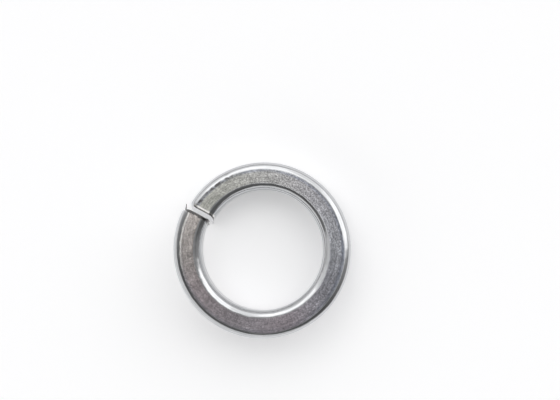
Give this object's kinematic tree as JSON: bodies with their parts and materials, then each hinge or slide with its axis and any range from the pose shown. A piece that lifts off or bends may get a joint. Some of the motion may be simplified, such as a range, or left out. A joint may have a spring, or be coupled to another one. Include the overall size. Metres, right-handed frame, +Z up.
{
  "type": "spring lock washer",
  "caption": "Split spring lock washer: a coil of square rolled wire with rounded corners, its ends cut on a slant and sprung apart.",
  "frame": {"origin": "on the axis of the bore, level with the underside of the low end", "axes": "+Z up the axis of the bore, the raised end's side up; -Y towards the slit; +X towards the raised end seen from the slit"},
  "size_m": [0.0246, 0.0246, 0.0083],
  "materials": {
    "zinc_plated_spring_steel": "bright zinc plating with a faint blue tint, satin on the rolled faces and glossy on the rounded corners"
  },
  "bodies": {
    "root": {"lock_washer": "zinc_plated_spring_steel"}
  },
  "joints": []
}
